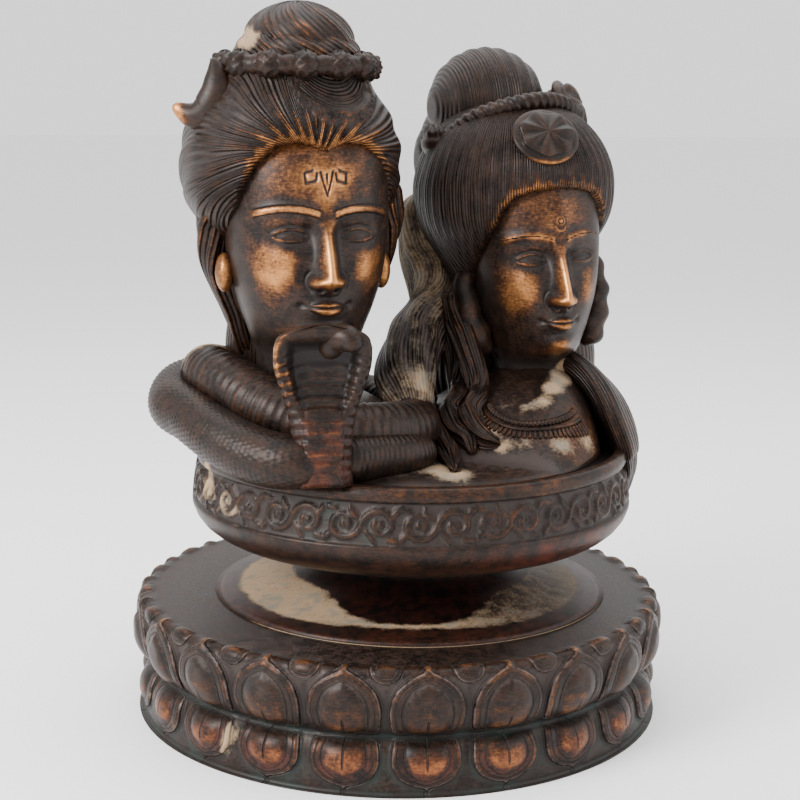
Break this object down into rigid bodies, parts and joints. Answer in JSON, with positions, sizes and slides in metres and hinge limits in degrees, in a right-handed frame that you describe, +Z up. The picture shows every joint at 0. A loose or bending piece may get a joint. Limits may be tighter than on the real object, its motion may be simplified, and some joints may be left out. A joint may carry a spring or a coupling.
{
  "type": "shiva linga, double-headed bust",
  "caption": "Cast bronze linga: two crowned heads and a rearing cobra on a scroll-banded drum, loose on a double-lotus base.",
  "frame": {"origin": "centre of the lotus base's underside, on the surface that the work stands on", "axes": "+Z up; the faces look roughly along -Y; +X is towards the second head, on the viewer's right"},
  "size_m": [0.286, 0.2878, 0.3689],
  "materials": {
    "base_bronze": "dark brown cast bronze patina, rubbed to copper on the petals, green in the crease",
    "casting_bronze": "dark brown cast bronze patina, polished copper on the faces and strands, pale worn patches and verdigris"
  },
  "bodies": {
    "root": {"lotus_base": "base_bronze", "two_headed_linga": "casting_bronze"}
  },
  "joints": []
}
